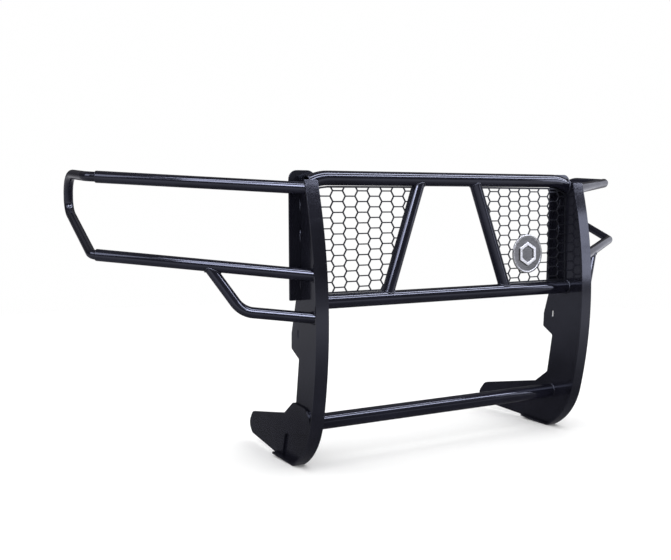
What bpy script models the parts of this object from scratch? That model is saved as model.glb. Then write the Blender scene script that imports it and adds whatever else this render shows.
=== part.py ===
"""Front grille guard for a pickup truck: one Blender object per welded or fitted piece.

Metres, +Z up, the guard faces -Y, X = 0 is the plane of symmetry and Z = 0 is the underside of the feet.
The dimensions below measure Y from the plane of the tops of the webs; the last step moves the origin to the
middle of the guard's depth. Every mirrored piece is built by a loop over side = -1 (left) and +1 (right).
"""

import math

import bmesh
import bpy
from mathutils import Vector

# ---------------------------------------------------------------- driving dimensions
GAP = 0.0004  # clearance at every contact between two pieces
SEGMENTS = 20  # sides of every round tube
BEND_STEP = math.radians(12)  # largest turn between two points of an arc
TRIM = 0.04  # a cut tube's last ring slides to the cut from this far away
SHARP = math.radians(35)  # edges steeper than this stay sharp on a smooth piece

WEB_X = 0.478  # middle of the web plate of an upright
WEB_T = 0.0064
WEB_IN = WEB_X - WEB_T / 2
WEB_OUT = WEB_X + WEB_T / 2

STRAP_X = (0.4636, 0.5037)
STRAP_T = 0.006
STRAP_TOP_Z = 0.802
STRAP_STEPS = 12
FRONT_RADIUS = 1.28  # long shallow arc of the front edge
FRONT_Y = -0.0658  # foremost point of that arc
FRONT_Z = 0.417
TOE_RADIUS = 0.21
TOE_Z = 0.142  # height where the long arc turns into the toe
TOE_STEPS = 8
TAB_LENGTH = 0.128
TAB_RISE = math.radians(3.2)
WEB_SHORT = 0.006  # the web stops this far before the end of the strap's tab

PLATE_X = (0.4325, 0.5145)
PLATE_T = 0.006
PLATE_Y = 0.0602
PLATE_Z = (0.4744, 0.8285)
PLATE_CORNER = 0.025
PLATE_FOOT_CORNER = 0.003
NOTCH_LENGTH = 0.2
NOTCH_MIDDLE = 0.05  # along the rail, from the web

SLOT_AT = (0.0765, 0.377)
SLOT_SIZE = (0.008, 0.0225)
SLOT_ROUND = 0.49  # corner radius as a share of the slot's width: nearly half-round ends

BRACKET_T = 0.0064
BRACKET_FOLD_Y = 0.206
BRACKET_TOE_IN = math.radians(5)

TOP_TUBE_D = 0.04
TOP_TUBE_AT = (0.0354, 0.8078)
TOP_TUBE_BEND_X = 0.4445
TOP_TUBE_BEND_R = 0.128
TOP_TUBE_END_Z = 0.7906
LOW_TUBE_D = 0.0412
LOW_TUBE_AT = (0.0208, 0.4712)
BOTTOM_TUBE_D = 0.047
BOTTOM_TUBE_AT = (0.0759, 0.1186)
TUBE_WALL = 0.0026

DIAGONAL_D = 0.0337
DIAGONAL_TOP_X = 0.0983
DIAGONAL_LOW_X = 0.2212

PANEL_T = 0.003
PANEL_MARGIN = 0.005
HEX_PITCH_X = 0.0403
HEX_PITCH_Z = 0.0295
HEX_FIRST = (0.177, 0.0078)  # first bar between two openings: distance from the middle, height
HEX_SLANT = 0.0085
HEX_BAR = 0.0035
HEX_COLUMNS = range(-2, 9)
HEX_ROWS = range(-1, 12)
HEX_SMALLEST = 2e-5  # an opening cut smaller than this by the margin is left solid

RAIL_D = 0.0329
RAIL_WALL = 0.002
TOP_RAIL_START = (0.0225, 0.7796)  # y, z where its axis meets the web
TOP_RAIL_SWEEP = math.radians(33.3)
TOP_RAIL_RISE = math.radians(3.1)
TOP_RAIL_RUN = 0.571  # plan length
LOW_RAIL_START = (-0.0104, 0.5482)
LOW_RAIL_SWEEP = math.radians(33.5)
LOW_RAIL_RISE = math.radians(5.15)
LOW_RAIL_RUN = 0.5886

LOOP_D = 0.0275
LOOP_WALL = 0.002
LOOP_INSERT = 0.04  # length of the loop's tube inside each rail
LOOP_TIP_TOP = 0.03  # corner of the loop past the end of the top rail
LOOP_TIP_LOW = 0.0138
LOOP_REAR_TOP = (0.9753, 0.5556, 0.8237)
LOOP_REAR_LOW = (0.9669, 0.5958, 0.7198)
LOOP_RADII = (0.0303, 0.0899, 0.0362, 0.0229)

BRACE_START_Z = 0.4322
BRACE_CORNER = (0.194, 0.4485)  # plan distance from the web, z
BRACE_TOP_RUN = 0.285
BRACE_D = 0.0308
BRACE_BEND_R = 0.068

BADGE_AT = (0.3062, 0.5817)
BADGE_D = 0.12
BADGE_T = 0.004
BADGE_RIM = 0.007
BADGE_RIM_RISE = 0.0012
BADGE_DISH = 0.0005  # the face inside the rim lies this far below the disc's edge
BADGE_EDGE = 0.001
BADGE_SEGMENTS = 48
BADGE_OFF_PANEL = 0.0015
RING_D = 0.074  # across the corners
RING_OPEN = 0.72  # its opening as a share of its size
RING_T = 0.003

# ---------------------------------------------------------------- scene and materials
for old in list(bpy.data.objects):
    bpy.data.objects.remove(old, do_unlink=True)


def material(name, colour, roughness, metallic):
    made = bpy.data.materials.new(name)
    made.use_nodes = True
    shader = made.node_tree.nodes["Principled BSDF"]
    shader.inputs["Base Color"].default_value = (*colour, 1.0)
    shader.inputs["Roughness"].default_value = roughness
    shader.inputs["Metallic"].default_value = metallic
    return made


PLATE_COAT = material("black_coat_plate", (0.016, 0.016, 0.021), 0.3, 0.0)
TUBE_COAT = material("black_coat_tube", (0.012, 0.012, 0.018), 0.2, 0.0)
MESH_COAT = material("black_coat_mesh", (0.014, 0.014, 0.018), 0.35, 0.0)
SILVER = material("silver_badge", (0.62, 0.62, 0.64), 0.28, 1.0)


def add_object(name, bm, coat, origin, smooth=False):
    """Turns the bmesh into an object whose own origin sits at the given world point."""
    origin = Vector(origin)
    bmesh.ops.recalc_face_normals(bm, faces=bm.faces)
    if bm.calc_volume(signed=True) < 0:
        bmesh.ops.reverse_faces(bm, faces=bm.faces)
    bmesh.ops.translate(bm, verts=bm.verts, vec=-origin)
    mesh = bpy.data.meshes.new(name)
    bm.to_mesh(mesh)
    bm.free()
    if smooth:
        mesh.shade_smooth()
        mesh.set_sharp_from_angle(angle=SHARP)
    mesh.materials.append(coat)
    made = bpy.data.objects.new(name, mesh)
    made.location = origin
    bpy.context.scene.collection.objects.link(made)
    return made


# ---------------------------------------------------------------- flat outlines
def rounded(corners):
    """Outline through (a, b, radius) corners, each corner turned into an arc of its radius."""
    points = []
    for i, (a, b, radius) in enumerate(corners):
        here = Vector((a, b))
        if radius == 0:
            points.append(here)
            continue
        before = Vector(corners[i - 1][:2]) - here
        after = Vector(corners[(i + 1) % len(corners)][:2]) - here
        points += corner_arc(here, before.normalized(), after.normalized(), radius)
    return points


def corner_arc(corner, back, ahead, radius):
    """Points of the arc that rounds a corner, in two or three dimensions."""
    turn = math.pi - back.angle(ahead)
    reach = radius * math.tan(turn / 2)
    centre = corner + (back + ahead).normalized() * (radius / math.cos(turn / 2))
    start = corner + back * reach - centre
    across = -back
    steps = max(1, math.ceil(turn / BEND_STEP))
    arc = []
    for k in range(steps + 1):
        angle = turn * k / steps
        arc.append(centre + start * math.cos(angle) + across * radius * math.sin(angle))
    return arc


def prism(outline, holes, place):
    """Closed plate: the outline and holes as flat (a, b) points, placed on both faces by place(a, b, face)."""
    bm = bmesh.new()
    walls = []
    for face in (0, 1):
        edges = []
        for loop in (outline, *holes):
            ring = [bm.verts.new(place(a, b, face)) for a, b in loop]
            edges += [bm.edges.new((v, ring[i - 1])) for i, v in enumerate(ring)]
            walls.append(ring)
        bmesh.ops.triangle_fill(bm, use_beauty=True, use_dissolve=False, edges=edges)
    count = len(walls) // 2
    for near, far in zip(walls[:count], walls[count:]):
        for i in range(len(near)):
            bm.faces.new((near[i - 1], near[i], far[i], far[i - 1]))
    return bm


def across_x(side, x0, x1):
    """Places a (y, z) outline between two X planes of one side."""
    return lambda y, z, face: (side * (x1 if face else x0), y, z)


# ---------------------------------------------------------------- tubes
def bent_path(corners, radii):
    """Centre line through the corners; the inner ones are rounded by their radii."""
    corners = [Vector(c) for c in corners]
    path = [corners[0]]
    for i, radius in enumerate(radii, 1):
        back = (corners[i - 1] - corners[i]).normalized()
        ahead = (corners[i + 1] - corners[i]).normalized()
        path += corner_arc(corners[i], back, ahead, radius)
    return path + [corners[-1]]


def square_end(point, along):
    return point


def plane_end(x):
    """Slides each point along the tube to the plane at that X."""
    return lambda point, along: point + along * ((x - point.x) / along.x)


def saddle_end(on_axis, axis, radius):
    """Slides each point along the tube to the near side of a cylinder."""
    on_axis = Vector(on_axis)
    axis = Vector(axis).normalized()

    def slide(point, along):
        gap = point - on_axis
        gap -= axis * gap.dot(axis)
        way = along - axis * along.dot(axis)
        a, b, c = way.dot(way), gap.dot(way), gap.dot(gap) - radius * radius
        return point + along * ((-b - math.sqrt(b * b - a * c)) / a)

    return slide


def tube(path, outside, wall, start=square_end, end=square_end):
    """Hollow tube swept along the path; start and end cut its two ends."""
    count = len(path)
    ways = [(path[i] - path[i - 1]).normalized() for i in range(1, count)]
    tangents = [ways[0]]
    tangents += [(ways[i - 1] + ways[i]).normalized() for i in range(1, count - 1)]
    tangents.append(ways[-1])
    up = Vector((0, 0, 1)) if abs(ways[0].z) < 0.9 else Vector((0, 1, 0))
    bm = bmesh.new()
    shells = ([], [])
    for i, (centre, along) in enumerate(zip(path, tangents)):
        up = (up - along * up.dot(along)).normalized()
        right = along.cross(up)
        for shell, radius in zip(shells, (outside / 2, outside / 2 - wall)):
            ring = []
            for k in range(SEGMENTS):
                angle = 2 * math.pi * k / SEGMENTS
                point = centre + (right * math.cos(angle) + up * math.sin(angle)) * radius
                if i == 0:
                    point = start(point, -along)
                if i == count - 1:
                    point = end(point, along)
                ring.append(bm.verts.new(point))
            shell.append(ring)
    for shell in shells:
        for low, high in zip(shell, shell[1:]):
            join_rings(bm, low, high)
    join_rings(bm, shells[0][0], shells[1][0])
    join_rings(bm, shells[0][-1], shells[1][-1])
    return bm


def join_rings(bm, one, other):
    for k in range(len(one)):
        bm.faces.new((one[k - 1], one[k], other[k], other[k - 1]))


# ---------------------------------------------------------------- uprights
def front_edge(inset):
    """(y, z) line of the front edge from the top to the end of the tab, moved inwards by inset."""
    long_centre = Vector((FRONT_Y + FRONT_RADIUS, FRONT_Z))
    top = math.asin((STRAP_TOP_Z - FRONT_Z) / FRONT_RADIUS)
    low = math.asin((TOE_Z - FRONT_Z) / FRONT_RADIUS)
    turn = Vector((-math.cos(low), math.sin(low)))
    toe_centre = long_centre + turn * (FRONT_RADIUS - TOE_RADIUS)
    bottom = -math.asin(toe_centre.y / TOE_RADIUS)
    line = []
    for centre, radius, first, last, steps in (
        (long_centre, FRONT_RADIUS - inset, top, low, STRAP_STEPS),
        (toe_centre, TOE_RADIUS - inset, low, bottom, TOE_STEPS),
    ):
        # Each arc leaves out its last point, where the next stretch starts.
        for k in range(steps):
            angle = first + (last - first) * k / steps
            line.append(centre + radius * Vector((-math.cos(angle), math.sin(angle))))
    heel = toe_centre + TOE_RADIUS * Vector((-math.cos(bottom), math.sin(bottom)))
    along = Vector((math.cos(TAB_RISE), math.sin(TAB_RISE)))
    toe_in = (toe_centre - heel).normalized()
    tab_in = Vector((-along.y, along.x))
    line.append(heel + (toe_in + tab_in) * (inset / (1 + toe_in.dot(tab_in))))
    line.append(heel + along * TAB_LENGTH + tab_in * inset)
    return line


def strap_outline():
    outer = front_edge(0)
    inner = front_edge(STRAP_T)
    inner[0] = Vector((inner[0].x, STRAP_TOP_Z))
    return outer + inner[::-1]


def web_outline():
    front = front_edge(STRAP_T + GAP)
    front[0] = Vector((front[0].x, STRAP_TOP_Z))
    tab = front.pop()
    toe = tab - (tab - front[-1]).normalized() * WEB_SHORT
    rear = [
        (toe.x, toe.y, 0),
        (0.19, 0.108, 0.006),
        (0.1488, 0.1395, 0),
        (0.1, 0.175, 0.004),
        (0.0917, 0.182, 0),
        (0.0735, 0.307, 0.006),
        (0.1175, 0.332, 0.007),
        (0.1165, 0.376, 0.02),
        (0.0885, PLATE_Z[0] - GAP, 0.002),
        (PLATE_Y - GAP, PLATE_Z[0] - GAP, 0),
        (PLATE_Y - GAP, STRAP_TOP_Z, 0),
    ]
    closed = [(p.x, p.y, 0) for p in front] + rear
    return rounded(closed)


def slot_hole():
    y, z = SLOT_AT
    w, h = SLOT_SIZE
    corners = ((-1, -1), (1, -1), (1, 1), (-1, 1))
    return rounded([(y + i * w / 2, z + j * h / 2, w * SLOT_ROUND) for i, j in corners])


def plate_outline():
    inner, outer = PLATE_X
    low, high = PLATE_Z
    return rounded([
        (inner, low, PLATE_FOOT_CORNER),
        (outer, low, PLATE_FOOT_CORNER),
        (outer, high, PLATE_CORNER),
        (inner, high, PLATE_CORNER),
    ])


def bracket_outline():
    return rounded([
        (0.1, 0.1785, 0.004),
        (0.012, 0.174, 0.042),
        (-0.008, 0.107, 0.014),
        (0.1487, 0.078, 0.006),
        (0.162, 0.03, 0.012),
        (0.166, 0.0125, 0),
        (0.2035, 0.0145, 0),
        (0.2035, 0.007, 0),
        (0.405, 0.023, 0.02),
        (0.434, 0.05, 0.024),
        (0.4, 0.0935, 0.03),
        (0.152, 0.1395, 0.01),
    ])


def fold_tongue(bm, side):
    """Turns the tongue behind the fold line inwards."""
    everything = bm.verts[:] + bm.edges[:] + bm.faces[:]
    fold = (0, BRACKET_FOLD_Y, 0)
    bmesh.ops.bisect_plane(bm, geom=everything, plane_co=fold, plane_no=(0, 1, 0))
    for vert in bm.verts:
        if vert.co.y > BRACKET_FOLD_Y:
            vert.co.x -= side * (vert.co.y - BRACKET_FOLD_Y) * math.tan(BRACKET_TOE_IN)


def build_upright(side, word):
    web = prism(web_outline(), [slot_hole()], across_x(side, WEB_IN, WEB_OUT))
    add_object(f"upright_web_{word}", web, PLATE_COAT, (side * WEB_X, 0, 0))

    strap = prism(strap_outline(), [], across_x(side, *STRAP_X))
    strap_x = side * sum(STRAP_X) / 2
    add_object(f"front_strap_{word}", strap, PLATE_COAT, (strap_x, 0, 0), smooth=True)

    def place(x, z, face):
        return (side * x, PLATE_Y + PLATE_T * face, z)

    bm = prism(plate_outline(), [], place)
    plate = add_object(f"rear_plate_{word}", bm, PLATE_COAT, (side * WEB_X, PLATE_Y, PLATE_Z[0]))
    notch_for_rail(plate, side, word)

    near = WEB_OUT + GAP
    bracket = prism(bracket_outline(), [], across_x(side, near, near + BRACKET_T))
    fold_tongue(bracket, side)
    add_object(f"frame_bracket_{word}", bracket, PLATE_COAT, (side * near, BRACKET_FOLD_Y, 0))


def notch_for_rail(plate, side, word):
    """Clears the corner of the rear plate where the wing's top rail passes."""
    start, way = rail_line(side, TOP_RAIL_START, TOP_RAIL_SWEEP, TOP_RAIL_RISE)
    reach = RAIL_D / 2 + 2 * GAP
    bm = bmesh.new()
    bmesh.ops.create_cone(
        bm,
        cap_ends=True,
        segments=2 * SEGMENTS,
        radius1=reach,
        radius2=reach,
        depth=NOTCH_LENGTH,
    )
    turn = way.to_track_quat("Z", "Y").to_matrix()
    bmesh.ops.rotate(bm, verts=bm.verts, matrix=turn)
    bmesh.ops.translate(bm, verts=bm.verts, vec=start + way * NOTCH_MIDDLE)
    cutter = add_object(f"rail_cutter_{word}", bm, PLATE_COAT, start)
    cutter.hide_render = True
    cutter.display_type = "WIRE"
    cut = plate.modifiers.new("rail clearance", "BOOLEAN")
    cut.operation = "DIFFERENCE"
    cut.solver = "EXACT"
    cut.object = cutter


# ---------------------------------------------------------------- centre section
def build_cross_tubes():
    y, z = TOP_TUBE_AT
    x = WEB_IN - GAP
    corners = [
        (-WEB_IN, y, TOP_TUBE_END_Z),
        (-TOP_TUBE_BEND_X, y, z),
        (TOP_TUBE_BEND_X, y, z),
        (WEB_IN, y, TOP_TUBE_END_Z),
    ]
    # The bends run right up to the webs, so the path starts and ends on them.
    path = bent_path(corners, (TOP_TUBE_BEND_R, TOP_TUBE_BEND_R))[1:-1]
    bm = tube(path, TOP_TUBE_D, TUBE_WALL, plane_end(-x), plane_end(x))
    add_object("top_cross_tube", bm, TUBE_COAT, (0, y, z), smooth=True)
    for name, (y, z), outside in (
        ("lower_cross_tube", LOW_TUBE_AT, LOW_TUBE_D),
        ("bottom_cross_tube", BOTTOM_TUBE_AT, BOTTOM_TUBE_D),
    ):
        bm = tube([Vector((-x, y, z)), Vector((x, y, z))], outside, TUBE_WALL)
        add_object(name, bm, TUBE_COAT, (0, y, z), smooth=True)


def panel_point(x, height):
    """Point of the leaning plane through the axes of the top and lower cross tubes."""
    low = Vector((0, *LOW_TUBE_AT))
    up = (Vector((0, *TOP_TUBE_AT)) - low).normalized()
    return Vector((x, 0, 0)) + low + up * height


def panel_height():
    return (Vector(TOP_TUBE_AT) - Vector(LOW_TUBE_AT)).length


def panel_normal():
    """Unit vector from the panel towards the front."""
    up = panel_point(0, 1) - panel_point(0, 0)
    return Vector((1, 0, 0)).cross(up).normalized()


def build_diagonal(side, word):
    top = panel_point(side * DIAGONAL_TOP_X, panel_height())
    low = panel_point(side * DIAGONAL_LOW_X, 0)
    way = (top - low).normalized()
    path = [low + way * TRIM, top - way * TRIM]
    bm = tube(
        path,
        DIAGONAL_D,
        TUBE_WALL,
        saddle_end(low, (1, 0, 0), LOW_TUBE_D / 2 + GAP),
        saddle_end(top, (1, 0, 0), TOP_TUBE_D / 2 + GAP),
    )
    add_object(f"diagonal_tube_{word}", bm, TUBE_COAT, low, smooth=True)


def clipped(outline, start, end):
    """Part of a convex outline on the left of the line from start to end."""
    way = end - start

    def depth(p):
        return way.x * (p.y - start.y) - way.y * (p.x - start.x)

    kept = []
    for i, here in enumerate(outline):
        last = outline[i - 1]
        one, two = depth(last), depth(here)
        if (one > 0) != (two > 0):
            kept.append(last + (here - last) * (one / (one - two)))
        if two > 0:
            kept.append(here)
    return kept


def area(outline):
    return 0.5 * sum(outline[i - 1].cross(outline[i]) for i in range(len(outline)))


def inset_outline(outline, by):
    """Convex anticlockwise outline with every edge moved inwards."""
    lines = []
    for i, here in enumerate(outline):
        last = outline[i - 1]
        way = (here - last).normalized()
        shift = Vector((-way.y, way.x)) * by
        lines.append((last + shift, here + shift))
    big = [Vector((-2, -2)), Vector((2, -2)), Vector((2, 2)), Vector((-2, 2))]
    for start, end in lines:
        big = clipped(big, start, end)
    return big


def panel_outline():
    """Right-hand panel in its own plane, x across and height up, anticlockwise."""
    low = Vector((DIAGONAL_LOW_X, 0))
    top = Vector((DIAGONAL_TOP_X, panel_height()))
    way = (top - low).normalized()
    beside = Vector((way.y, -way.x)) * (DIAGONAL_D / 2 + GAP)
    z0 = LOW_TUBE_D / 2 + GAP
    z1 = panel_height() - TOP_TUBE_D / 2 - GAP
    low_x = (low + beside + way * ((z0 - (low + beside).y) / way.y)).x
    top_x = (low + beside + way * ((z1 - (low + beside).y) / way.y)).x
    right = WEB_IN - GAP
    # The upper outer corner follows the underside of the top tube's bend, clear of its facets.
    turn = math.atan2(TOP_TUBE_AT[1] - TOP_TUBE_END_Z, WEB_IN - TOP_TUBE_BEND_X)
    bend_x = TOP_TUBE_BEND_X - TOP_TUBE_BEND_R * math.tan(turn / 2)
    bend_z = panel_height() - TOP_TUBE_BEND_R
    radius = TOP_TUBE_BEND_R - TOP_TUBE_D / 2 - 3 * GAP
    last = math.asin((right - bend_x) / radius)
    under = []
    for k in range(4):
        angle = last * (1 - k / 3)
        under.append(Vector((bend_x + radius * math.sin(angle), bend_z + radius * math.cos(angle))))
    return [Vector((low_x, z0)), Vector((right, z0)), *under, Vector((top_x, z1))]


def hexagon(x, z):
    """Opening between the bars around (x, z), anticlockwise."""
    half = HEX_PITCH_Z / 2
    flat = (HEX_PITCH_X - HEX_SLANT) / 2
    tip = (HEX_PITCH_X + HEX_SLANT) / 2
    corners = ((-tip, 0), (-flat, -half), (flat, -half), (tip, 0), (flat, half), (-flat, half))
    return inset_outline([Vector((x + a, z + b)) for a, b in corners], HEX_BAR / 2)


def build_panel(side, word):
    outline = panel_outline()
    inner = inset_outline(outline, PANEL_MARGIN)
    edges = [(inner[i - 1], inner[i]) for i in range(len(inner))]
    holes = []
    for column in HEX_COLUMNS:
        # The pattern runs on from one panel to the other, so the two sides start half a row apart.
        half_row = (column + (side < 0)) % 2 / 2
        for row in HEX_ROWS:
            x = HEX_FIRST[0] + column * HEX_PITCH_X
            z = HEX_FIRST[1] + (row + half_row + 0.5) * HEX_PITCH_Z
            hole = hexagon(x, z)
            for start, end in edges:
                hole = clipped(hole, start, end)
            if len(hole) > 2 and area(hole) > HEX_SMALLEST:
                holes.append(hole)
    normal = panel_normal()

    def place(x, height, face):
        return panel_point(side * x, height) + normal * PANEL_T * (face - 0.5)

    bm = prism(outline, holes, place)
    add_object(f"mesh_panel_{word}", bm, MESH_COAT, panel_point(side * WEB_IN, 0))


# ---------------------------------------------------------------- wings
def rail_line(side, start, sweep, rise):
    """Point on the web's outer face and the direction of a wing rail."""
    y, z = start
    way = Vector((side * math.cos(sweep), math.sin(sweep), math.tan(rise)))
    return Vector((side * WEB_OUT, y, z)), way


def build_wing(side, word):
    web = plane_end(side * (WEB_OUT + GAP))
    ends = []
    for name, start, sweep, rise, run in (
        ("top", TOP_RAIL_START, TOP_RAIL_SWEEP, TOP_RAIL_RISE, TOP_RAIL_RUN),
        ("lower", LOW_RAIL_START, LOW_RAIL_SWEEP, LOW_RAIL_RISE, LOW_RAIL_RUN),
    ):
        start, way = rail_line(side, start, sweep, rise)
        end = start + way * run
        bm = tube([start + way * TRIM, end], RAIL_D, RAIL_WALL, web)
        add_object(f"wing_{name}_rail_{word}", bm, TUBE_COAT, start, smooth=True)
        ends.append((end, way))
    build_loop(side, word, *ends)
    build_brace(side, word, web)


def build_loop(side, word, top, low):
    """Thinner tube from inside the end of the top rail round to inside the end of the lower one."""
    top_end, top_way = top
    low_end, low_way = low
    mirror = Vector((side, 1, 1))
    corners = [
        top_end - top_way * LOOP_INSERT,
        top_end + top_way * LOOP_TIP_TOP,
        mirror * Vector(LOOP_REAR_TOP),
        mirror * Vector(LOOP_REAR_LOW),
        low_end + low_way * LOOP_TIP_LOW,
        low_end - low_way * LOOP_INSERT,
    ]
    bm = tube(bent_path(corners, LOOP_RADII), LOOP_D, LOOP_WALL)
    add_object(f"wing_end_loop_{word}", bm, TUBE_COAT, top_end, smooth=True)


def build_brace(side, word, web):
    """Bent tube in the lower rail's upright plane, from the web up to the underside of the rail."""
    start, way = rail_line(side, LOW_RAIL_START, LOW_RAIL_SWEEP, LOW_RAIL_RISE)

    def in_plane(run, z):
        return Vector((start.x + way.x * run, start.y + way.y * run, z))

    foot = in_plane(0, BRACE_START_Z)
    corner = in_plane(*BRACE_CORNER)
    head = start + way * BRACE_TOP_RUN
    path = bent_path([foot, corner, head], (BRACE_BEND_R,))
    path[0] = foot + (corner - foot).normalized() * TRIM
    path[-1] = head - (head - corner).normalized() * TRIM
    bm = tube(path, BRACE_D, RAIL_WALL, web, saddle_end(start, way, RAIL_D / 2 + GAP))
    add_object(f"wing_brace_{word}", bm, TUBE_COAT, foot, smooth=True)


# ---------------------------------------------------------------- badge
def build_badge():
    """Plain round badge: a dished disc with a raised rim, and a hexagonal ring standing on it."""
    x, z = BADGE_AT
    up = (panel_point(0, 1) - panel_point(0, 0)).normalized()
    normal = panel_normal()
    back = panel_point(x, (z - LOW_TUBE_AT[1]) / up.z) + normal * (PANEL_T / 2 + BADGE_OFF_PANEL)
    turned = [unit_circle(k / BADGE_SEGMENTS) for k in range(BADGE_SEGMENTS)]

    def at(flat, off):
        return back + Vector((flat.x, 0, 0)) + up * flat.y + normal * off

    outside = BADGE_D / 2
    top = BADGE_T + BADGE_RIM_RISE
    face = BADGE_T - BADGE_DISH
    profile = (
        (0, outside - BADGE_EDGE),
        (BADGE_EDGE, outside),
        (BADGE_T, outside),
        (top, outside - 2 * BADGE_EDGE),
        (top, outside - BADGE_RIM + BADGE_EDGE),
        (face, outside - BADGE_RIM),
    )
    bm = bmesh.new()
    rings = [[bm.verts.new(at(p * radius, off)) for p in turned] for off, radius in profile]
    for low, high in zip(rings, rings[1:]):
        join_rings(bm, low, high)
    bm.faces.new(rings[0])
    bm.faces.new(rings[-1])
    add_object("badge_disc", bm, SILVER, back, smooth=True)

    outer = [unit_circle((k + 0.5) / 6) * RING_D / 2 for k in range(6)]
    inner = [p * RING_OPEN for p in outer]

    def place(a, b, side):
        return at(Vector((a, b)), face + GAP + RING_T * side)

    bm = prism(outer, [inner], place)
    add_object("badge_ring", bm, SILVER, back + normal * (face + GAP))


def unit_circle(turn):
    angle = 2 * math.pi * turn
    return Vector((math.cos(angle), math.sin(angle)))


# ---------------------------------------------------------------- the guard
def centre_depth():
    """Moves every object so that the origin lies under the middle of the guard's depth."""
    bpy.context.view_layer.update()
    depths = []
    for piece in bpy.data.objects:
        if not piece.hide_render:
            depths += [(piece.matrix_world @ Vector(corner)).y for corner in piece.bound_box]
    middle = (min(depths) + max(depths)) / 2
    for piece in bpy.data.objects:
        piece.location.y -= middle


build_cross_tubes()
for side, word in ((-1, "left"), (1, "right")):
    build_upright(side, word)
    build_diagonal(side, word)
    build_panel(side, word)
    build_wing(side, word)
build_badge()
centre_depth()
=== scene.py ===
import math
import random

import bmesh
import bpy
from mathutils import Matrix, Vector, noise


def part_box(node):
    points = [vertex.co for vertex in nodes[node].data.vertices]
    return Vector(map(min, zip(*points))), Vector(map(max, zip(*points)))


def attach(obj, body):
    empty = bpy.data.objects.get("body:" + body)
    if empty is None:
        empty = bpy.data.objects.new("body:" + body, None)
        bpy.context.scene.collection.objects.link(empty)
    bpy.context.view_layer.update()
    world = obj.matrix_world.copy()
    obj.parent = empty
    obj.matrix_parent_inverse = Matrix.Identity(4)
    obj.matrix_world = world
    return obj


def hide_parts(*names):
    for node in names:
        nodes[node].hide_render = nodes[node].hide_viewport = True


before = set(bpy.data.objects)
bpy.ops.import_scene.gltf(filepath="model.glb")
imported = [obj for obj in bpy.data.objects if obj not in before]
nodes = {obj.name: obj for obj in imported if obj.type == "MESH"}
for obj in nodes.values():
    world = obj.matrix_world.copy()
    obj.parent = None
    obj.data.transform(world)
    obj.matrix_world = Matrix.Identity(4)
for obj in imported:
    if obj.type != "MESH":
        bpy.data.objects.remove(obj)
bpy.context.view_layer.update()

SIDES = ((-1, "left"), (1, "right"))

# ---------------------------------------------------------------- sizes that the design gives
GAP = 0.0004
WEB_IN = 0.4748
WEB_OUT = 0.4812
PLATE_Y = 0.0602

STRAP_X = (0.4636, 0.5037)
STRAP_T = 0.006
STRAP_TOP_Z = 0.802
FRONT_RADIUS = 1.28
FRONT_Y = -0.0658
FRONT_Z = 0.417
TOE_RADIUS = 0.21
TOE_Z = 0.142
TAB_LENGTH = 0.128
TAB_RISE = math.radians(3.2)

TOP_TUBE_D = 0.04
TOP_TUBE_AT = (0.0354, 0.8078)
TOP_TUBE_BEND_X = 0.4445
TOP_TUBE_BEND_R = 0.128
TOP_TUBE_END_Z = 0.7906
LOW_TUBE_D = 0.0412
LOW_TUBE_AT = (0.0208, 0.4712)
BOTTOM_TUBE_D = 0.047
BOTTOM_TUBE_AT = (0.0759, 0.1186)
TUBE_WALL = 0.0026
DIAGONAL_D = 0.0337
DIAGONAL_TOP_X = 0.0983
DIAGONAL_LOW_X = 0.2212

RAIL_D = 0.0329
RAIL_WALL = 0.002
TOP_RAIL = ((0.0225, 0.7796), math.radians(33.3), math.radians(3.1), 0.571)
LOW_RAIL = ((-0.0104, 0.5482), math.radians(33.5), math.radians(5.15), 0.5886)
LOOP_D = 0.0275
LOOP_INSERT = 0.04
LOOP_SHAVE = 0.0006  # keeps the smooth loop inside the box of the packed, coarser one
LOOP_TIP_TOP = 0.03
LOOP_TIP_LOW = 0.0138
LOOP_REAR_TOP = (0.9753, 0.5556, 0.8237)
LOOP_REAR_LOW = (0.9669, 0.5958, 0.7198)
LOOP_RADII = (0.0303, 0.0899, 0.0362, 0.0229)
BRACE_START_Z = 0.4322
BRACE_CORNER = (0.194, 0.4485)
BRACE_TOP_RUN = 0.285
BRACE_D = 0.0308
BRACE_BEND_R = 0.068

BADGE_D = 0.12

# The design measures Y from the webs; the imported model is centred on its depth.
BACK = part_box("rear_plate_left")[0].y - PLATE_Y

# ---------------------------------------------------------------- fineness
SEGMENTS = 64  # sides of a tube
BEND_STEP = math.radians(3)  # largest turn between two rings of a bend
TRIM = 0.04  # a cut tube's last ring slides to the cut from this far away
STEEP = 0.9  # a tube whose direction rises more than this gets its rings' frame from Y, not Z
SHARP = math.radians(50)  # edges steeper than this stay sharp on a smooth piece
LIP = 0.0012  # rounding of a rail's far end
LIP_STEPS = 4

EDGE = 0.0007  # width of an eased plate edge
MESH_EDGE = 0.0006
RING_EDGE = 0.0008
EASE_STEPS = 3
EASE_FROM = math.radians(30)  # edges that turn less than this are left alone
SAME_POINT = 1e-5
SAME_PLANE = math.radians(1)

BEAD = 0.0030  # radius of a weld bead
DIAGONAL_BEAD = BEAD * 0.85
STRAP_BEAD = BEAD * 0.8
RAIL_END_BEAD = 0.0017
RAIL_END_OUT = 0.0008  # that bead's line lies this far outside the loop's tube
RAIL_END_STUB = 0.01  # length of path that gives its ring a direction
BEAD_SIDES = 10
BEAD_FRAME = Vector((0.31, 0.17, 0.93)).normalized()  # a direction that no bead runs along
RIPPLE = 0.0042  # length of one ripple of a bead
RIPPLE_STEPS = 5
BEAD_LOW, BEAD_RISE, BEAD_WANDER = 0.86, 0.2, 0.16  # shares of the radius: base, ripple, slow noise
WANDER_SCALE = 90
BEAD_TIP, BEAD_TAPER = 0.25, 3.2  # an open bead starts at this share and grows this fast
FEWEST_RINGS, FEWEST_OPEN_RINGS = 12, 10
random.seed(7)


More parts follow.
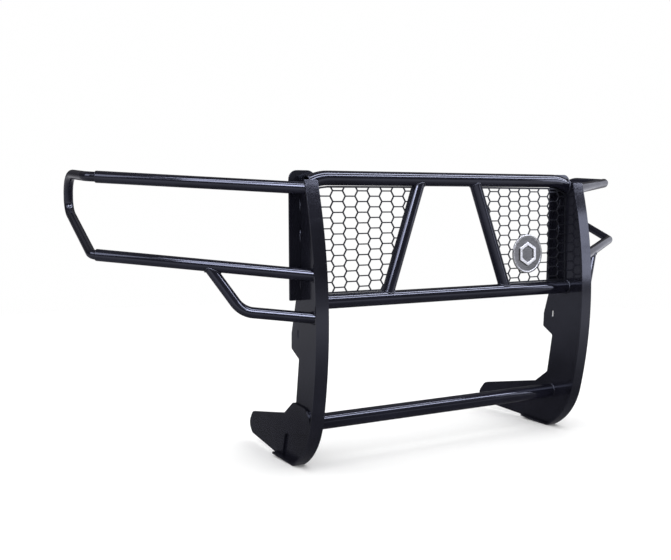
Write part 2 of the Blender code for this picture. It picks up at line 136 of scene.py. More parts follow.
# ---------------------------------------------------------------- material nodes
def fill_ramp(ramp, stops):
    """Gives a colour ramp its (position, (red, green, blue)) stops."""
    marks = ramp.color_ramp.elements
    while len(marks) < len(stops):
        marks.new(1.0)
    for mark, (at, colour) in zip(marks, stops):
        mark.position = at
        mark.color = (*colour, 1.0)


def grey(level):
    return (level, level, level)


class Shader:
    """A Principled material and short ways to add nodes in front of it."""

    def __init__(self, name, colour, roughness, metallic=0.0):
        self.material = bpy.data.materials.new(name)
        self.material.use_nodes = True
        self.tree = self.material.node_tree
        self.main = self.tree.nodes["Principled BSDF"]
        self.set("Base Color", (*colour, 1.0))
        self.set("Roughness", roughness)
        self.set("Metallic", metallic)
        self.place = self.tree.nodes.new("ShaderNodeTexCoord").outputs["Object"]

    def set(self, socket, value):
        self.main.inputs[socket].default_value = value

    def link(self, out, socket):
        self.tree.links.new(out, socket)

    def noise(self, scale, detail=4.0, rough=0.6, stretch=None):
        node = self.tree.nodes.new("ShaderNodeTexNoise")
        node.inputs["Scale"].default_value = scale
        node.inputs["Detail"].default_value = detail
        node.inputs["Roughness"].default_value = rough
        where = self.place
        if stretch:
            turn = self.tree.nodes.new("ShaderNodeMapping")
            turn.inputs["Scale"].default_value = stretch
            self.link(where, turn.inputs["Vector"])
            where = turn.outputs["Vector"]
        self.link(where, node.inputs["Vector"])
        return node.outputs["Fac"]

    def ramp(self, value, stops):
        node = self.tree.nodes.new("ShaderNodeValToRGB")
        fill_ramp(node, [(at, c if isinstance(c, tuple) else grey(c)) for at, c in stops])
        self.link(value, node.inputs["Fac"])
        return node.outputs["Color"]

    def spread(self, value, low, high, new_low, new_high):
        node = self.tree.nodes.new("ShaderNodeMapRange")
        sockets = ("From Min", "From Max", "To Min", "To Max")
        for socket, number in zip(sockets, (low, high, new_low, new_high)):
            node.inputs[socket].default_value = number
        self.link(value, node.inputs["Value"])
        return node.outputs["Result"]

    def mix(self, share, one, two, kind="MIX"):
        node = self.tree.nodes.new("ShaderNodeMix")
        node.data_type = "RGBA"
        node.blend_type = kind
        for socket, value in zip((0, 6, 7), (share, one, two)):
            if isinstance(value, (int, float)):
                node.inputs[socket].default_value = value
            elif isinstance(value, tuple):
                node.inputs[socket].default_value = (*value, 1.0)
            else:
                self.link(value, node.inputs[socket])
        return node.outputs[2]

    def math(self, kind, one, two):
        node = self.tree.nodes.new("ShaderNodeMath")
        node.operation = kind
        for socket, value in zip(node.inputs, (one, two)):
            if isinstance(value, (int, float)):
                socket.default_value = value
            else:
                self.link(value, socket)
        return node.outputs["Value"]

    def bumps(self, layers):
        """Stacks (height, strength, distance) bumps and feeds the shader's normal."""
        normal = None
        for height, strength, distance in layers:
            node = self.tree.nodes.new("ShaderNodeBump")
            node.inputs["Strength"].default_value = strength
            node.inputs["Distance"].default_value = distance
            self.link(height, node.inputs["Height"])
            if normal is not None:
                self.link(normal, node.inputs["Normal"])
            normal = node.outputs["Normal"]
        self.link(normal, self.main.inputs["Normal"])


# Noise textures: scale, detail and roughness.
CLOUDS = (7.0, 5.0, 0.55)
WIPES = (3.0, 6.0, 0.7)
GRAIN = (900.0, 2.0, 0.5)
PEEL = (240.0, 2.0, 0.45)
SPECKS = (260.0, 3.0, 0.6)
PATCHES = (11.0, 4.0, 0.6)
BRUSHING = (60.0, 4.0, 0.7)
STAINS = (9.0, 3.0, 0.5)
WIPE_STRETCH = (1.0, 2.2, 9.0)
BRUSH_STRETCH = (0.35, 9.0, 26.0)

COAT_IOR = 1.5
COAT_SPECULAR = 0.5
COAT_TINT = (0.8, 0.84, 1.0, 1.0)
COAT_DIM, COAT_BRIGHT = 0.72, 1.45  # the coat's darkest and lightest clouds, as shares of its colour
DULL = 0.1  # roughness that a wipe mark adds
DUST_DULL = 0.08  # and that dust adds
DUST = (0.30, 0.29, 0.28)
DUST_SLOPE = 0.35  # dust starts to settle on faces that point up more than this
PEEL_HEIGHT = 0.0003
GRAIN_HEIGHT = 0.0001
GRAIN_SHARE = 0.35  # strength of the grain as a share of the orange peel's

SILVER_ROUGHNESS = 0.28
SILVER_GLOSS = (0.2, 0.38)
SILVER_DIM = 0.72
STAIN_DIM = 0.86
BRUSH_STRENGTH = 0.12
BRUSH_HEIGHT = 0.0003


def powder_coat(name, colour, low, high, peel, dust):
    """Black powder coat: fine orange peel, cloudy gloss, dull wipe marks and dust on top faces."""
    shader = Shader(name, colour, (low + high) / 2)
    shader.set("IOR", COAT_IOR)
    shader.set("Specular IOR Level", COAT_SPECULAR)
    shader.set("Specular Tint", COAT_TINT)
    clouds = shader.noise(*CLOUDS)
    wipes = shader.noise(*WIPES, stretch=WIPE_STRETCH)
    grain = shader.noise(*GRAIN)
    dim = tuple(c * COAT_DIM for c in colour)
    bright = tuple(c * COAT_BRIGHT for c in colour)
    shade = shader.ramp(clouds, ((0.3, dim), (0.72, bright)))

    up = shader.tree.nodes.new("ShaderNodeSeparateXYZ")
    shader.link(shader.tree.nodes.new("ShaderNodeNewGeometry").outputs["Normal"], up.inputs["Vector"])
    level = shader.spread(up.outputs["Z"], DUST_SLOPE, 1.0, 0.0, 1.0)
    speckle = shader.ramp(shader.noise(*SPECKS), ((0.5, 0.0), (0.74, 1.0)))
    patches = shader.ramp(shader.noise(*PATCHES), ((0.38, 0.1), (0.7, 1.0)))
    settled = shader.math("MULTIPLY", shader.math("MULTIPLY", level, speckle), patches)
    share = shader.math("MULTIPLY", settled, dust)
    shader.link(shader.mix(share, shade, DUST), shader.main.inputs["Base Color"])

    gloss = shader.spread(clouds, 0.3, 0.7, low, high)
    dull = shader.spread(wipes, 0.52, 0.8, 0.0, DULL)
    wiped = shader.math("ADD", gloss, dull)
    rough = shader.math("ADD", wiped, shader.math("MULTIPLY", settled, DUST_DULL))
    shader.link(rough, shader.main.inputs["Roughness"])
    waves = shader.noise(*PEEL)
    shader.bumps(((waves, peel, PEEL_HEIGHT), (grain, peel * GRAIN_SHARE, GRAIN_HEIGHT)))
    return shader.material


def brushed_silver(name, light):
    """Satin silver with a fine brush grain across X and a slightly dull face."""
    shader = Shader(name, grey(light), SILVER_ROUGHNESS, 1.0)
    fine = shader.noise(*BRUSHING, stretch=BRUSH_STRETCH)
    broad = shader.noise(*STAINS)
    tone = shader.ramp(fine, ((0.3, light * SILVER_DIM), (0.7, light)))
    stain = shader.ramp(broad, ((0.35, STAIN_DIM), (0.65, 1.0)))
    shader.link(shader.mix(1.0, tone, stain, "MULTIPLY"), shader.main.inputs["Base Color"])
    shader.link(shader.spread(fine, 0.25, 0.75, *SILVER_GLOSS), shader.main.inputs["Roughness"])
    shader.bumps(((fine, BRUSH_STRENGTH, BRUSH_HEIGHT),))
    return shader.material


# name, colour, smoothest and roughest gloss, orange peel, dust
PLATE = powder_coat("gloss_black_plate", (0.0065, 0.0065, 0.0105), 0.11, 0.18, 0.08, 0.03)
TUBE = powder_coat("gloss_black_tube", (0.006, 0.006, 0.0105), 0.07, 0.12, 0.06, 0.03)
MESH = powder_coat("black_mesh", (0.006, 0.006, 0.008), 0.3, 0.4, 0.1, 0.03)
WELD = powder_coat("gloss_black_weld", (0.008, 0.008, 0.012), 0.1, 0.17, 0.08, 0.02)
# name, brightness
SILVER = brushed_silver("brushed_silver", 0.92)
RIM = brushed_silver("brushed_rim", 0.5)
DISC = brushed_silver("brushed_disc", 0.2)


# ---------------------------------------------------------------- pieces
def add_piece(name, bm, material, stands_for=()):
    """Turns the bmesh, drawn in the design's frame, into a piece that rides on the guard."""
    bmesh.ops.translate(bm, verts=bm.verts, vec=(0, BACK, 0))
    bmesh.ops.recalc_face_normals(bm, faces=bm.faces)
    if bm.calc_volume(signed=True) < 0:
        bmesh.ops.reverse_faces(bm, faces=bm.faces)
    mesh = bpy.data.meshes.new(name)
    bm.to_mesh(mesh)
    bm.free()
    mesh.shade_smooth()
    mesh.set_sharp_from_angle(angle=SHARP)
    mesh.materials.append(material)
    piece = bpy.data.objects.new(name, mesh)
    bpy.context.scene.collection.objects.link(piece)
    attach(piece, "root")
    if stands_for:
        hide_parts(*stands_for)
    return piece


def ease(bm, width):
    """Rounds every edge of a flat-sided shape."""
    bmesh.ops.remove_doubles(bm, verts=bm.verts, dist=SAME_POINT)
    bmesh.ops.dissolve_limit(bm, angle_limit=SAME_PLANE, verts=bm.verts, edges=bm.edges)
    sharp = [e for e in bm.edges if len(e.link_faces) == 2 and e.calc_face_angle(0) > EASE_FROM]
    bmesh.ops.bevel(
        bm,
        geom=sharp,
        offset=width,
        segments=EASE_STEPS,
        profile=0.5,
        affect="EDGES",
        clamp_overlap=True,
    )


def rebuild(node, name, material, width=EDGE):
    """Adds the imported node's own shape with eased edges."""
    bm = bmesh.new()
    bm.from_mesh(nodes[node].data)
    bmesh.ops.translate(bm, verts=bm.verts, vec=(0, -BACK, 0))
    ease(bm, width)
    keep_flat(add_piece(name, bm, material, (node,)))


def keep_flat(piece):
    """Keeps the broad faces of a piece flat in the light, so only its eased edges look round."""
    weighted = piece.modifiers.new("flat faces", "WEIGHTED_NORMAL")
    weighted.keep_sharp = True


# ---------------------------------------------------------------- centre lines
def corner_arc(corner, back, ahead, radius):
    """Points of a bend at the corner. back and ahead point from it along the two straight lines."""
    turn = math.pi - back.angle(ahead)
    reach = radius * math.tan(turn / 2)
    centre = corner + (back + ahead).normalized() * (radius / math.cos(turn / 2))
    start = corner + back * reach - centre
    steps = max(1, math.ceil(turn / BEND_STEP))
    arc = []
    for k in range(steps + 1):
        angle = turn * k / steps
        arc.append(centre + start * math.cos(angle) - back * radius * math.sin(angle))
    return arc


def bent_path(corners, radii):
    """Centre line through the corners, with a bend of the given radius at each one between the ends."""
    corners = [Vector(c) for c in corners]
    path = [corners[0]]
    for i, radius in enumerate(radii, 1):
        back = (corners[i - 1] - corners[i]).normalized()
        ahead = (corners[i + 1] - corners[i]).normalized()
        path += corner_arc(corners[i], back, ahead, radius)
    return path + [corners[-1]]


def square_end(point, along):
    return point


def plane_end(x):
    """A cut along the plane at x."""
    return lambda point, along: point + along * ((x - point.x) / along.x)


def saddle_end(on_axis, axis, radius):
    """A cut that fits round a cylinder."""
    on_axis = Vector(on_axis)
    axis = Vector(axis).normalized()

    def slide(point, along):
        gap = point - on_axis
        gap -= axis * gap.dot(axis)
        way = along - axis * along.dot(axis)
        a, b, c = way.dot(way), gap.dot(way), gap.dot(gap) - radius * radius
        return point + along * ((-b - math.sqrt(b * b - a * c)) / a)

    return slide


def rings_along(path, radius, start=square_end, end=square_end):
    """Rings of points round the path, the first and last slid to where the tube is cut."""
    count = len(path)
    ways = [(path[i] - path[i - 1]).normalized() for i in range(1, count)]
    tangents = [ways[0]]
    tangents += [(ways[i - 1] + ways[i]).normalized() for i in range(1, count - 1)]
    tangents.append(ways[-1])
    up = Vector((0, 0, 1)) if abs(ways[0].z) < STEEP else Vector((0, 1, 0))
    rings = []
    for i, (centre, along) in enumerate(zip(path, tangents)):
        up = (up - along * up.dot(along)).normalized()
        right = along.cross(up)
        ring = []
        for k in range(SEGMENTS):
            angle = 2 * math.pi * k / SEGMENTS
            point = centre + (right * math.cos(angle) + up * math.sin(angle)) * radius
            if i == 0:
                point = start(point, -along)
            if i == count - 1:
                point = end(point, along)
            ring.append(point)
        rings.append(ring)
    return rings


def join_rings(bm, one, other):
    for k in range(len(one)):
        bm.faces.new((one[k - 1], one[k], other[k], other[k - 1]))


def tube(path, outside, wall, start=square_end, end=square_end, lip=0.0):
    """Hollow tube along the path. A lip rounds the outer edge of its far end."""
    bm = bmesh.new()
    outer = rings_along(path, outside / 2, start, end)
    inner = rings_along(path, outside / 2 - wall, start, end)
    if lip:
        way = (path[-1] - path[-2]).normalized()
        last = outer.pop()
        for k in range(LIP_STEPS + 1):
            angle = math.pi / 2 * k / LIP_STEPS
            back = lip * (1 - math.sin(angle))
            shrink = 1 - lip * (1 - math.cos(angle)) / (outside / 2)
            outer.append([path[-1] + (p - path[-1]) * shrink - way * back for p in last])
    outer = [[bm.verts.new(p) for p in ring] for ring in outer]
    inner = [[bm.verts.new(p) for p in ring] for ring in inner]
    for shell in (outer, inner):
        for low, high in zip(shell, shell[1:]):
            join_rings(bm, low, high)
    join_rings(bm, outer[0], inner[0])
    join_rings(bm, outer[-1], inner[-1])
    return bm


# ---------------------------------------------------------------- weld beads
def resampled(points, spacing):
    """Points along a closed line at even spacing."""
    lengths = [(points[i] - points[i - 1]).length for i in range(len(points))]
    total = sum(lengths)
    count = max(FEWEST_RINGS, int(total / spacing))
    line = []
    for k in range(count):
        want = total * k / count
        i = 0
        while want > lengths[i]:
            want -= lengths[i]
            i += 1
        start, end = points[i - 1], points[i]
        line.append(start + (end - start) * (want / max(lengths[i], 1e-9)))
    return line


def bead(name, points, size=BEAD, closed=True):
    """Rippled weld bead round a closed line of points, or straight between the ends of an open one."""
    spacing = RIPPLE / RIPPLE_STEPS
    if closed:
        line = resampled(points, spacing)
    else:
        length = sum((b - a).length for a, b in zip(points, points[1:]))
        count = max(FEWEST_OPEN_RINGS, int(length / spacing))
        line = [points[0].lerp(points[-1], k / count) for k in range(count + 1)]
    count = len(line)
    phase = random.random()
    bm = bmesh.new()
    rings = []
    up = BEAD_FRAME
    for i, centre in enumerate(line):
        ahead = line[(i + 1) % count] if closed else line[min(i + 1, count - 1)]
        before = line[i - 1] if closed else line[max(i - 1, 0)]
        along = (ahead - before).normalized()
        up = (up - along * up.dot(along)).normalized()
        right = along.cross(up)
        wave = abs(math.sin(math.pi * (i * spacing / RIPPLE + phase)))
        wander = noise.noise(centre * WANDER_SCALE)
        radius = size * (BEAD_LOW + BEAD_RISE * wave + BEAD_WANDER * wander)
        if not closed:
            radius *= min(1.0, BEAD_TIP + BEAD_TAPER * min(i, count - 1 - i) / count)
        ring = []
        for k in range(BEAD_SIDES):
            angle = 2 * math.pi * k / BEAD_SIDES
            out = right * math.cos(angle) + up * math.sin(angle)
            ring.append(bm.verts.new(centre + out * radius))
        rings.append(ring)
    for low, high in zip(rings, rings[1:]):
        join_rings(bm, low, high)
    if closed:
        join_rings(bm, rings[-1], nearest_turn(rings[-1], rings[0]))
    else:
        bm.faces.new(rings[0])
        bm.faces.new(rings[-1])
    add_piece(name, bm, WELD)


def nearest_turn(last, first):
    """The first ring, turned so that its points lie next to the last ring's."""
    count = len(first)
    turns = [first[k:] + first[:k] for k in range(count)]
    return min(turns, key=lambda ring: sum((a.co - b.co).length for a, b in zip(last, ring)))


# ---------------------------------------------------------------- cross tubes
def build_cross_tubes():
    x = WEB_IN - GAP
    y, z = TOP_TUBE_AT
    corners = [
        (-WEB_IN, y, TOP_TUBE_END_Z),
        (-TOP_TUBE_BEND_X, y, z),
        (TOP_TUBE_BEND_X, y, z),
        (WEB_IN, y, TOP_TUBE_END_Z),
    ]
    path = bent_path(corners, (TOP_TUBE_BEND_R, TOP_TUBE_BEND_R))[1:-1]
    bm = tube(path, TOP_TUBE_D, TUBE_WALL, plane_end(-x), plane_end(x))
    add_piece("smooth_top_cross_tube", bm, TUBE, ("top_cross_tube",))
    rings = rings_along(path, TOP_TUBE_D / 2, plane_end(-x), plane_end(x))
    bead("weld_top_tube_left", rings[0])
    bead("weld_top_tube_right", rings[-1])
    for word, (y, z), outside in (
        ("lower", LOW_TUBE_AT, LOW_TUBE_D),
        ("bottom", BOTTOM_TUBE_AT, BOTTOM_TUBE_D),
    ):
        path = [Vector((-x, y, z)), Vector((x, y, z))]
        bm = tube(path, outside, TUBE_WALL)
        add_piece(f"smooth_{word}_cross_tube", bm, TUBE, (f"{word}_cross_tube",))
        rings = rings_along(path, outside / 2)
        bead(f"weld_{word}_tube_left", rings[0])
        bead(f"weld_{word}_tube_right", rings[-1])


def panel_point(x, height):
    """Point in the leaning plane of the lower and top cross tubes' axes, height above the lower one."""
    low = Vector((0, *LOW_TUBE_AT))
    up = (Vector((0, *TOP_TUBE_AT)) - low).normalized()
    return Vector((x, 0, 0)) + low + up * height


def build_diagonal(side, word):
    height = (Vector(TOP_TUBE_AT) - Vector(LOW_TUBE_AT)).length
    top = panel_point(side * DIAGONAL_TOP_X, height)
    low = panel_point(side * DIAGONAL_LOW_X, 0)
    way = (top - low).normalized()
    path = [low + way * TRIM, top - way * TRIM]
    ends = (
        saddle_end(low, (1, 0, 0), LOW_TUBE_D / 2 + GAP),
        saddle_end(top, (1, 0, 0), TOP_TUBE_D / 2 + GAP),
    )
    bm = tube(path, DIAGONAL_D, TUBE_WALL, *ends)
    add_piece(f"smooth_diagonal_{word}", bm, TUBE, (f"diagonal_tube_{word}",))
    rings = rings_along(path, DIAGONAL_D / 2, *ends)
    bead(f"weld_diagonal_low_{word}", rings[0], DIAGONAL_BEAD)
    bead(f"weld_diagonal_top_{word}", rings[-1], DIAGONAL_BEAD)


# ---------------------------------------------------------------- wings
def rail_line(side, start, sweep, rise):
    """Where a rail meets the web, and its direction for each metre of plan length."""
    y, z = start
    way = Vector((side * math.cos(sweep), math.sin(sweep), math.tan(rise)))
    return Vector((side * WEB_OUT, y, z)), way


def build_wing(side, word):
    web = plane_end(side * (WEB_OUT + GAP))
    ends = []
    for name, (start, sweep, rise, run) in (("top", TOP_RAIL), ("lower", LOW_RAIL)):
        start, way = rail_line(side, start, sweep, rise)
        end = start + way * run
        path = [start + way * TRIM, end]
        bm = tube(path, RAIL_D, RAIL_WALL, web, lip=LIP)
        stands_for = (f"wing_{name}_rail_{word}",)
        add_piece(f"smooth_{name}_rail_{word}", bm, TUBE, stands_for)
        bead(f"weld_{name}_rail_{word}", rings_along(path, RAIL_D / 2, web)[0])
        mouth = rings_along([end - way * RAIL_END_STUB, end], LOOP_D / 2 + RAIL_END_OUT)[-1]
        bead(f"weld_{name}_rail_end_{word}", mouth, RAIL_END_BEAD)
        ends.append((end, way))

    (top_end, top_way), (low_end, low_way) = ends
    mirror = Vector((side, 1, 1))
    corners = [
        top_end - top_way * LOOP_INSERT,
        top_end + top_way * LOOP_TIP_TOP,
        mirror * Vector(LOOP_REAR_TOP),
        mirror * Vector(LOOP_REAR_LOW),
        low_end + low_way * LOOP_TIP_LOW,
        low_end - low_way * LOOP_INSERT,
    ]
    bm = tube(bent_path(corners, LOOP_RADII), LOOP_D - LOOP_SHAVE, RAIL_WALL)
    add_piece(f"smooth_end_loop_{word}", bm, TUBE, (f"wing_end_loop_{word}",))

    start, way = rail_line(side, *LOW_RAIL[:3])

    def in_plane(run, z):
        return Vector((start.x + way.x * run, start.y + way.y * run, z))

    foot = in_plane(0, BRACE_START_Z)
    corner = in_plane(*BRACE_CORNER)
    head = start + way * BRACE_TOP_RUN
    path = bent_path([foot, corner, head], (BRACE_BEND_R,))
    path[0] = foot + (corner - foot).normalized() * TRIM
    path[-1] = head - (head - corner).normalized() * TRIM
    saddle = saddle_end(start, way, RAIL_D / 2 + GAP)
    bm = tube(path, BRACE_D, RAIL_WALL, web, saddle)
    add_piece(f"smooth_brace_{word}", bm, TUBE, (f"wing_brace_{word}",))
    rings = rings_along(path, BRACE_D / 2, web, saddle)
    bead(f"weld_brace_foot_{word}", rings[0])
    bead(f"weld_brace_head_{word}", rings[-1])


# ---------------------------------------------------------------- uprights
LONG_STEPS = 60  # points along the long arc of the front edge
TOE_STEPS = 40
CORNER_STEPS = 3  # faces round an eased edge of the strap
PLATE_STITCHES = (0.52, 0.65, 0.735)  # heights of the welds between a web and its rear plate
HALF_STITCH = 0.016
STRAP_STITCHES = (6, 24, 42, 66, 84)  # points of the front edge where a weld behind the strap starts
STRAP_STITCH_STEPS = 2


def front_edge(inset):
    """(y, z) line of the front edge from the top to the end of the tab, moved inwards by inset."""
    long_centre = Vector((FRONT_Y + FRONT_RADIUS, FRONT_Z))
    top = math.asin((STRAP_TOP_Z - FRONT_Z) / FRONT_RADIUS)
    low = math.asin((TOE_Z - FRONT_Z) / FRONT_RADIUS)
    turn = Vector((-math.cos(low), math.sin(low)))
    toe_centre = long_centre + turn * (FRONT_RADIUS - TOE_RADIUS)
    bottom = -math.asin(toe_centre.y / TOE_RADIUS)
    line = []
    for centre, radius, first, last, steps in (
        (long_centre, FRONT_RADIUS - inset, top, low, LONG_STEPS),
        (toe_centre, TOE_RADIUS - inset, low, bottom, TOE_STEPS),
    ):
        for k in range(steps):
            angle = first + (last - first) * k / steps
            line.append(centre + radius * Vector((-math.cos(angle), math.sin(angle))))
    heel = toe_centre + TOE_RADIUS * Vector((-math.cos(bottom), math.sin(bottom)))
    along = Vector((math.cos(TAB_RISE), math.sin(TAB_RISE)))
    toe_in = (toe_centre - heel).normalized()
    tab_in = Vector((-along.y, along.x))
    line.append(heel + (toe_in + tab_in) * (inset / (1 + toe_in.dot(tab_in))))
    line.append(heel + along * TAB_LENGTH + tab_in * inset)
    return line


def build_strap(side, word):
    """Flat bar bent along the front edge, with all four long edges eased."""
    outer = front_edge(0)
    inner = front_edge(STRAP_T)
    inner[0] = Vector((inner[0].x, STRAP_TOP_Z))
    bm = bmesh.new()
    rings = []
    for front, back in zip(outer, inner):
        out = (front - back).normalized()
        ring = []
        for x_edge, x_way in ((STRAP_X[0], 1), (STRAP_X[1], -1)):
            edges = (front, -out), (back, out)
            if x_way < 0:
                edges = edges[::-1]
            for base, inward in edges:
                swap = (len(ring) // (CORNER_STEPS + 1)) % 2
                for x, point in eased_corner(base, inward, x_edge, x_way, swap):
                    ring.append(bm.verts.new((side * x, point.x, point.y)))
        rings.append(ring)
    for low, high in zip(rings, rings[1:]):
        join_rings(bm, low, high)
    bm.faces.new(rings[0])
    bm.faces.new(rings[-1])
    stands_for = (f"front_strap_{word}",)
    keep_flat(add_piece(f"eased_front_strap_{word}", bm, PLATE, stands_for))


def eased_corner(base, inward, x_edge, x_way, swap):
    """(x, (y, z)) points round one long edge of the bar, in the order of the ring."""
    points = []
    for k in range(CORNER_STEPS + 1):
        angle = math.pi / 2 * k / CORNER_STEPS
        across, deep = 1 - math.sin(angle), 1 - math.cos(angle)
        if swap:
            across, deep = deep, across
        points.append((x_edge + x_way * EDGE * across, base + inward * EDGE * deep))
    return points


def stitch(name, ends, size):
    bead(name, ends, size, closed=False)


def build_plates(side, word):
    for node in ("upright_web", "rear_plate", "frame_bracket"):
        rebuild(f"{node}_{word}", f"eased_{node}_{word}", PLATE)
    rebuild(f"mesh_panel_{word}", f"eased_mesh_panel_{word}", MESH, MESH_EDGE)
    build_strap(side, word)
    faces = (("in", WEB_IN), ("out", WEB_OUT))
    # Stitch welds in the two corners between the web and the rear plate.
    for face, x in faces:
        for number, z in enumerate(PLATE_STITCHES, 1):
            ends = [Vector((side * x, PLATE_Y, z + shift)) for shift in (-HALF_STITCH, HALF_STITCH)]
            stitch(f"weld_plate_{face}_{number}_{word}", ends, BEAD)
    # Stitch welds behind the front strap.
    front = front_edge(STRAP_T)
    for face, x in faces:
        for number, at in enumerate(STRAP_STITCHES, 1):
            points = (front[at], front[at + STRAP_STITCH_STEPS])
            ends = [Vector((side * x, point.x, point.y)) for point in points]
            stitch(f"weld_strap_{face}_{number}_{word}", ends, STRAP_BEAD)


for side, word in SIDES:
    build_plates(side, word)
    build_diagonal(side, word)
    build_wing(side, word)
build_cross_tubes()


# ---------------------------------------------------------------- badge
DISC_SEGMENTS = 128
DISC_BACK = 0.0026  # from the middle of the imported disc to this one's back
DISC_EDGE = ((0.0, 0.001), (0.0006, 0.0))  # height over the back, distance in from the outside
RIM_HALF_WIDTH = 0.0031
RIM_STEPS = 8
RIM_HEIGHT = 0.0037
RIM_RISE = 0.0015
DISC_DISH = ((0.0035, 0.007), (0.0032, 0.02), (0.0031, 0.04))
DISC_FACE = 0.0068  # faces further in than this are the dark dish


def build_badge():
    """Round silver badge with a rolled rim and a plain hexagonal ring on a shallow dish."""
    rebuild("badge_ring", "eased_badge_ring", SILVER, RING_EDGE)
    low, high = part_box("badge_disc")
    centre = (low + high) / 2
    up = (panel_point(0, 1) - panel_point(0, 0)).normalized()
    normal = Vector((1, 0, 0)).cross(up).normalized()
    back = centre - normal * DISC_BACK - Vector((0, BACK, 0))
    outside = BADGE_D / 2
    profile = [(off, outside - inset) for off, inset in DISC_EDGE]
    for k in range(RIM_STEPS + 1):
        angle = math.pi * k / RIM_STEPS
        inset = RIM_HALF_WIDTH * (1 - math.cos(angle))
        profile.append((RIM_HEIGHT + RIM_RISE * math.sin(angle), outside - inset))
    profile += [(off, outside - inset) for off, inset in DISC_DISH]
    bm = bmesh.new()
    rings = []
    for off, radius in profile:
        ring = []
        for k in range(DISC_SEGMENTS):
            angle = 2 * math.pi * k / DISC_SEGMENTS
            flat = Vector((math.cos(angle), 0, 0)) + up * math.sin(angle)
            ring.append(bm.verts.new(back + normal * off + flat * radius))
        rings.append(ring)
    for one, other in zip(rings, rings[1:]):
        join_rings(bm, one, other)
    bm.faces.new(rings[0])
    bm.faces.new(rings[-1])
    bm.faces.index_update()
    inside = outside - DISC_FACE
    numbers = [f.index for f in bm.faces if max((v.co - back).length for v in f.verts) < inside]
    disc = add_piece("dished_badge_disc", bm, RIM, ("badge_disc",))
    disc.data.materials.append(DISC)
    for number in numbers:
        disc.data.polygons[number].material_index = 1
    keep_flat(disc)


build_badge()


# ---------------------------------------------------------------- studio
FLOOR_COLOUR = grey(0.965)
FLOOR_ROUGHNESS = 0.9
FLOOR_RADIUS = 9.0
FLOOR_SIDES = 96
FADE_FROM, FADE_TO = 1.3, 4.0  # distances from the origin between which the floor fades out
SEEN_COLOUR = grey(0.998)  # the background as the camera sees it
SKY = grey(1.3)  # the light that falls on matt surfaces

# What glossy surfaces find around them: the ground as a painted reflection, a glow whose brightness
# goes by its distance as a share of FADE_TO, dark near the guard as painted shade and dimmed towards
# the back, and the air's by the height (Z) and depth (Y) of the direction.
GLOSS_TINT = (0.97, 0.97, 1.03)
PAINTED_GROUND_BY_DISTANCE = ((0.0, 0.1), (0.2, 0.16), (0.42, 0.6), (0.7, 0.95), (1.0, 0.95))
BEHIND_FROM, BEHIND_TO = -0.6, 1.4
PAINTED_GROUND_BEHIND = ((0.0, 1.0), (1.0, 0.5))
GLOSS_BY_HEIGHT = (
    (-1.0, 0.2),
    (-0.75, 0.38),
    (-0.38, 0.85),
    (-0.14, 0.8),
    (0.0, 0.32),
    (0.1, 0.13),
    (0.5, 0.16),
    (0.62, 0.4),
    (1.0, 0.3),
)
GLOSS_BY_DEPTH = ((-1.0, 1.0), (-0.2, 0.9), (0.2, 0.6), (1.0, 0.5))

LAMP_COLOUR = (0.84, 0.86, 1.0)
# name, place, aim, (width, height), watts
LAMPS = (
    ("overhead_strip", (1.2, -0.75, 3.0), (1.2, -0.2, 0.8), (6.6, 0.42), 145),
    ("front_strip", (1.0, -1.85, 2.3), (1.0, -0.2, 0.8), (6.2, 0.46), 140),
    ("left_panel", (-2.1, -2.0, 2.45), (-0.2, -0.25, 0.6), (1.5, 1.3), 75),
    ("left_card", (-3.2, -0.6, 2.2), (-0.2, -0.25, 0.6), (1.6, 1.5), 34),
    ("right_box", (2.38, -2.1, 1.03), (0.48, -0.32, 0.62), (0.42, 1.02), 6),
    ("right_card", (3.1, 0.0, 0.95), (0.2, -0.25, 0.65), (3.0, 1.6), 7),
)

CAMERA_AT = (-1.71527, BACK - 2.20896, 0.74802)
CAMERA_TURN = (math.radians(90 - 9.086), 0, math.radians(-30.675))
CAMERA_SENSOR = 36
CAMERA_LENS = 50.26
CAMERA_SHIFT_Y = 0.1043


def build_floor():
    """Pale round floor that fades into the background. Gloss sees in its place a painted reflection: a
    glowing ground with painted shade round the guard.
    """
    bm = bmesh.new()
    bmesh.ops.create_circle(bm, cap_ends=True, segments=FLOOR_SIDES, radius=FLOOR_RADIUS)
    mesh = bpy.data.meshes.new("floor")
    bm.to_mesh(mesh)
    bm.free()
    floor = bpy.data.objects.new("floor", mesh)
    bpy.context.scene.collection.objects.link(floor)
    shader = Shader("pale_floor", FLOOR_COLOUR, FLOOR_ROUGHNESS)
    shader.set("Specular IOR Level", 0.0)
    length = shader.tree.nodes.new("ShaderNodeVectorMath")
    length.operation = "LENGTH"
    shader.link(shader.place, length.inputs[0])
    away = length.outputs["Value"]
    shader.link(shader.spread(away, FADE_FROM, FADE_TO, 1.0, 0.0), shader.main.inputs["Alpha"])
    # Glossy rays see this emission instead of the lit floor: a painted reflection of the ground, dark
    # near the guard as painted shade and dimmer behind it.
    painted_ground_reflection = shader.tree.nodes.new("ShaderNodeEmission")
    level = shader.ramp(shader.spread(away, 0.0, FADE_TO, 0.0, 1.0), PAINTED_GROUND_BY_DISTANCE)
    parts = shader.tree.nodes.new("ShaderNodeSeparateXYZ")
    shader.link(shader.place, parts.inputs["Vector"])
    depth = shader.spread(parts.outputs["Y"], BEHIND_FROM, BEHIND_TO, 0.0, 1.0)
    level = shader.mix(1.0, level, shader.ramp(depth, PAINTED_GROUND_BEHIND), "MULTIPLY")
    shader.link(shader.mix(1.0, level, GLOSS_TINT, "MULTIPLY"), painted_ground_reflection.inputs["Color"])
    ray = shader.tree.nodes.new("ShaderNodeLightPath")
    chosen = shader.tree.nodes.new("ShaderNodeMixShader")
    shader.link(ray.outputs["Is Glossy Ray"], chosen.inputs["Fac"])
    shader.link(shader.main.outputs["BSDF"], chosen.inputs[1])
    shader.link(painted_ground_reflection.outputs["Emission"], chosen.inputs[2])
    shader.link(chosen.outputs["Shader"], shader.tree.nodes["Material Output"].inputs["Surface"])
    mesh.materials.append(shader.material)


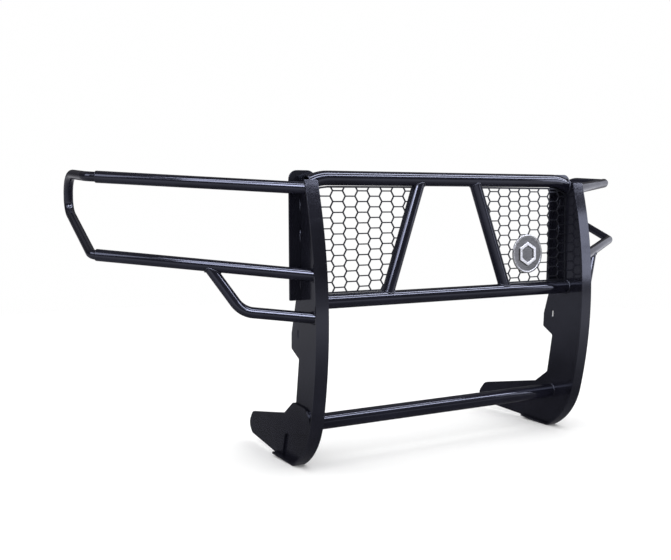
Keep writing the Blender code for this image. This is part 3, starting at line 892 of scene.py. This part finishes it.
def build_world():
    """The camera sees a plain near-white, matt surfaces an even sky, and gloss dark and pale bands."""
    made = bpy.data.worlds.new("studio")
    bpy.context.scene.world = made
    made.use_nodes = True
    tree = made.node_tree
    tree.nodes.clear()

    def background(colour):
        node = tree.nodes.new("ShaderNodeBackground")
        node.inputs["Color"].default_value = (*colour, 1.0)
        return node

    def choose(share, off, on):
        node = tree.nodes.new("ShaderNodeMixShader")
        tree.links.new(share, node.inputs["Fac"])
        tree.links.new(off, node.inputs[1])
        tree.links.new(on, node.inputs[2])
        return node.outputs["Shader"]

    def levels(value, stops, tint):
        spread = tree.nodes.new("ShaderNodeMapRange")
        spread.inputs["From Min"].default_value = -1.0
        tree.links.new(value, spread.inputs["Value"])
        ramp = tree.nodes.new("ShaderNodeValToRGB")
        fill_ramp(ramp, [((at + 1) / 2, [level * part for part in tint]) for at, level in stops])
        tree.links.new(spread.outputs["Result"], ramp.inputs["Fac"])
        return ramp.outputs["Color"]

    parts = tree.nodes.new("ShaderNodeSeparateXYZ")
    tree.links.new(tree.nodes.new("ShaderNodeTexCoord").outputs["Generated"], parts.inputs["Vector"])
    height = levels(parts.outputs["Z"], GLOSS_BY_HEIGHT, GLOSS_TINT)
    depth = levels(parts.outputs["Y"], GLOSS_BY_DEPTH, grey(1.0))
    product = tree.nodes.new("ShaderNodeMix")
    product.data_type = "RGBA"
    product.blend_type = "MULTIPLY"
    product.inputs[0].default_value = 1.0
    tree.links.new(height, product.inputs[6])
    tree.links.new(depth, product.inputs[7])
    studio = background(grey(1.0))
    tree.links.new(product.outputs[2], studio.inputs["Color"])
    ray = tree.nodes.new("ShaderNodeLightPath")
    even = background(SKY)
    seen = background(SEEN_COLOUR)
    lit = choose(ray.outputs["Is Glossy Ray"], even.outputs[0], studio.outputs[0])
    shown = choose(ray.outputs["Is Camera Ray"], lit, seen.outputs[0])
    tree.links.new(shown, tree.nodes.new("ShaderNodeOutputWorld").inputs["Surface"])


def softbox(name, at, aim, size, power):
    """A rectangular lamp that only shows in gloss."""
    light = bpy.data.lights.new(name, "AREA")
    light.shape = "RECTANGLE"
    light.size, light.size_y = size
    light.energy = power
    light.color = LAMP_COLOUR
    lamp = bpy.data.objects.new(name, light)
    lamp.location = at
    lamp.rotation_euler = (Vector(aim) - Vector(at)).to_track_quat("-Z", "Y").to_euler()
    lamp.visible_diffuse = False
    lamp.visible_camera = False
    bpy.context.scene.collection.objects.link(lamp)


def build_camera():
    data = bpy.data.cameras.new("camera")
    data.sensor_width = CAMERA_SENSOR
    data.lens = CAMERA_LENS
    data.shift_y = CAMERA_SHIFT_Y
    camera = bpy.data.objects.new("camera", data)
    camera.location = CAMERA_AT
    camera.rotation_euler = CAMERA_TURN
    bpy.context.scene.collection.objects.link(camera)
    bpy.context.scene.camera = camera
    bpy.context.scene.view_settings.view_transform = "Standard"


build_floor()
build_world()
for lamp in LAMPS:
    softbox(*lamp)
build_camera()
